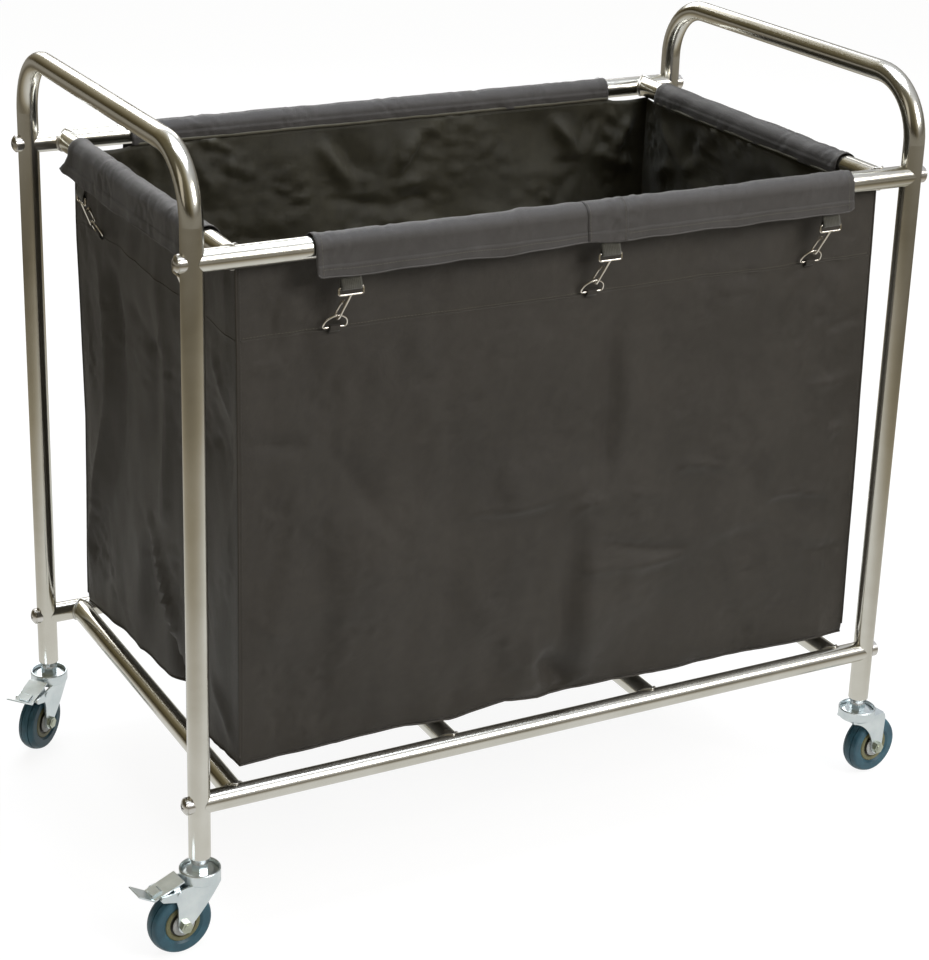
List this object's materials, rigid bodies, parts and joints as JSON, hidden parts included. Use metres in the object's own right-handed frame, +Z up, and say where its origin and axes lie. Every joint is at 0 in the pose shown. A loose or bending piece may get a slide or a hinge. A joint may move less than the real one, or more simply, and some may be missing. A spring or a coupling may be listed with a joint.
{
  "type": "laundry cart",
  "caption": "Stainless tube laundry cart: two bent end hoops as legs and push handles, screwed rail frames, hanging cloth bag clipped with snap hooks, swivel casters with foot brakes.",
  "frame": {"origin": "on the floor, under the middle of the rectangle of the four legs", "axes": "+X from the braked left end to the right end, +Y to the rear, +Z up"},
  "size_m": [1.0524, 0.5732, 0.9225],
  "materials": {
    "tube_steel": "polished stainless tube",
    "screw_steel": "polished stainless",
    "zinc_steel": "bright zinc plate",
    "hook_metal": "nickel plate",
    "bag_cloth": "coated oxford cloth",
    "webbing": "woven webbing",
    "tread_rubber": "soft rubber",
    "wheel_core_plastic": "moulded"
  },
  "bodies": {
    "frame": {"left_end_hoop": "tube_steel", "right_end_hoop": "tube_steel", "front_top_rail": "tube_steel", "rear_top_rail": "tube_steel", "front_bottom_rail": "tube_steel", "rear_bottom_rail": "tube_steel", "left_top_tube": "tube_steel", "right_top_tube": "tube_steel", "left_bottom_tube": "tube_steel", "left_middle_bottom_tube": "tube_steel", "right_middle_bottom_tube": "tube_steel", "right_bottom_tube": "tube_steel", "rail_screws": "screw_steel", "saddle_washers": "screw_steel", "rail_end_plugs": "zinc_steel", "bag_front_panel": "bag_cloth", "bag_rear_panel": "bag_cloth", "bag_left_panel": "bag_cloth", "bag_right_panel": "bag_cloth", "bag_floor_panel": "bag_cloth", "front_sleeve": "bag_cloth", "rear_sleeve": "bag_cloth", "left_sleeve": "bag_cloth", "right_sleeve": "bag_cloth", "webbing_loops": "webbing", "d_rings": "hook_metal", "snap_hooks": "hook_metal", "leg_sockets": "tube_steel", "caster_stems": "zinc_steel", "upper_races": "zinc_steel", "swivel_balls": "zinc_steel"},
    "front_left_caster": {"front_left_fork": "zinc_steel", "front_left_axle": "zinc_steel"},
    "front_left_wheel": {"front_left_wheel_core": "wheel_core_plastic", "front_left_tread": "tread_rubber"},
    "front_left_brake": {"front_left_brake_pedal": "zinc_steel"},
    "rear_left_caster": {"rear_left_fork": "zinc_steel", "rear_left_axle": "zinc_steel"},
    "rear_left_wheel": {"rear_left_wheel_core": "wheel_core_plastic", "rear_left_tread": "tread_rubber"},
    "rear_left_brake": {"rear_left_brake_pedal": "zinc_steel"},
    "front_right_caster": {"front_right_fork": "zinc_steel", "front_right_axle": "zinc_steel"},
    "front_right_wheel": {"front_right_wheel_core": "wheel_core_plastic", "front_right_tread": "tread_rubber"},
    "rear_right_caster": {"rear_right_fork": "zinc_steel", "rear_right_axle": "zinc_steel"},
    "rear_right_wheel": {"rear_right_wheel_core": "wheel_core_plastic", "rear_right_tread": "tread_rubber"},
    "front_hook_gate_1": {"front_hook_gate_1": "hook_metal"},
    "front_hook_gate_2": {"front_hook_gate_2": "hook_metal"},
    "front_hook_gate_3": {"front_hook_gate_3": "hook_metal"},
    "rear_hook_gate_1": {"rear_hook_gate_1": "hook_metal"},
    "rear_hook_gate_2": {"rear_hook_gate_2": "hook_metal"},
    "rear_hook_gate_3": {"rear_hook_gate_3": "hook_metal"},
    "left_hook_gate_1": {"left_hook_gate_1": "hook_metal"},
    "left_hook_gate_2": {"left_hook_gate_2": "hook_metal"},
    "right_hook_gate_1": {"right_hook_gate_1": "hook_metal"},
    "right_hook_gate_2": {"right_hook_gate_2": "hook_metal"}
  },
  "joints": [
    {"name": "front_left_swivel", "type": "hinge", "parent": "frame", "child": "front_left_caster", "pos_m": [-0.4525, -0.2625, 0.084], "axis": [0, 0, 1], "continuous": true},
    {"name": "front_left_wheel_spin", "type": "hinge", "parent": "front_left_caster", "child": "front_left_wheel", "pos_m": [-0.47933, -0.26551, 0.038], "axis": [0.1115, -0.9938, 0], "continuous": true},
    {"name": "front_left_brake_press", "type": "hinge", "parent": "front_left_caster", "child": "front_left_brake", "pos_m": [-0.48529, -0.26618, 0.0805], "axis": [0.1115, -0.9938, 0], "range_deg": [0, 9.5]},
    {"name": "rear_left_swivel", "type": "hinge", "parent": "frame", "child": "rear_left_caster", "pos_m": [-0.4525, 0.2625, 0.084], "axis": [0, 0, 1], "continuous": true},
    {"name": "rear_left_wheel_spin", "type": "hinge", "parent": "rear_left_caster", "child": "rear_left_wheel", "pos_m": [-0.47306, 0.245, 0.038], "axis": [0.6481, -0.7615, 0], "continuous": true},
    {"name": "rear_left_brake_press", "type": "hinge", "parent": "rear_left_caster", "child": "rear_left_brake", "pos_m": [-0.47763, 0.24111, 0.0805], "axis": [0.6481, -0.7615, 0], "range_deg": [0, 9.5]},
    {"name": "front_right_swivel", "type": "hinge", "parent": "frame", "child": "front_right_caster", "pos_m": [0.4525, -0.2625, 0.084], "axis": [0, 0, 1], "continuous": true},
    {"name": "front_right_wheel_spin", "type": "hinge", "parent": "front_right_caster", "child": "front_right_wheel", "pos_m": [0.47926, -0.25888, 0.038], "axis": [-0.134, 0.991, 0], "continuous": true},
    {"name": "rear_right_swivel", "type": "hinge", "parent": "frame", "child": "rear_right_caster", "pos_m": [0.4525, 0.2625, 0.084], "axis": [0, 0, 1], "continuous": true},
    {"name": "rear_right_wheel_spin", "type": "hinge", "parent": "rear_right_caster", "child": "rear_right_wheel", "pos_m": [0.47771, 0.25282, 0.038], "axis": [0.3584, 0.9336, 0], "continuous": true},
    {"name": "front_hook_open_1", "type": "hinge", "parent": "frame", "child": "front_hook_gate_1", "pos_m": [-0.28684, -0.26706, 0.73983], "axis": [-0.9366, -0.3388, 0.0889], "range_deg": [0, 12], "stiffness_Nm_per_rad": 0.01, "springref_deg": -20.05},
    {"name": "front_hook_open_2", "type": "hinge", "parent": "frame", "child": "front_hook_gate_2", "pos_m": [0.02816, -0.26706, 0.73983], "axis": [-0.9366, -0.3388, 0.0889], "range_deg": [0, 12], "stiffness_Nm_per_rad": 0.01, "springref_deg": -20.05},
    {"name": "front_hook_open_3", "type": "hinge", "parent": "frame", "child": "front_hook_gate_3", "pos_m": [0.32516, -0.26706, 0.73983], "axis": [-0.9366, -0.3388, 0.0889], "range_deg": [0, 12], "stiffness_Nm_per_rad": 0.01, "springref_deg": -20.05},
    {"name": "rear_hook_open_1", "type": "hinge", "parent": "frame", "child": "rear_hook_gate_1", "pos_m": [-0.28516, 0.26706, 0.73983], "axis": [0.9366, 0.3388, 0.0889], "range_deg": [0, 12], "stiffness_Nm_per_rad": 0.01, "springref_deg": -20.05},
    {"name": "rear_hook_open_2", "type": "hinge", "parent": "frame", "child": "rear_hook_gate_2", "pos_m": [0.01684, 0.26706, 0.73983], "axis": [0.9366, 0.3388, 0.0889], "range_deg": [0, 12], "stiffness_Nm_per_rad": 0.01, "springref_deg": -20.05},
    {"name": "rear_hook_open_3", "type": "hinge", "parent": "frame", "child": "rear_hook_gate_3", "pos_m": [0.32284, 0.26706, 0.73983], "axis": [0.9366, 0.3388, 0.0889], "range_deg": [0, 12], "stiffness_Nm_per_rad": 0.01, "springref_deg": -20.05},
    {"name": "left_hook_open_1", "type": "hinge", "parent": "frame", "child": "left_hook_gate_1", "pos_m": [-0.41256, 0.16484, 0.73983], "axis": [-0.3388, 0.9366, 0.0889], "range_deg": [0, 12], "stiffness_Nm_per_rad": 0.01, "springref_deg": -20.05},
    {"name": "left_hook_open_2", "type": "hinge", "parent": "frame", "child": "left_hook_gate_2", "pos_m": [-0.41256, -0.14316, 0.73983], "axis": [-0.3388, 0.9366, 0.0889], "range_deg": [0, 12], "stiffness_Nm_per_rad": 0.01, "springref_deg": -20.05},
    {"name": "right_hook_open_1", "type": "hinge", "parent": "frame", "child": "right_hook_gate_1", "pos_m": [0.41256, -0.15484, 0.73983], "axis": [0.3388, -0.9366, 0.0889], "range_deg": [0, 12], "stiffness_Nm_per_rad": 0.01, "springref_deg": -20.05},
    {"name": "right_hook_open_2", "type": "hinge", "parent": "frame", "child": "right_hook_gate_2", "pos_m": [0.41256, 0.13516, 0.73983], "axis": [0.3388, -0.9366, 0.0889], "range_deg": [0, 12], "stiffness_Nm_per_rad": 0.01, "springref_deg": -20.05}
  ]
}
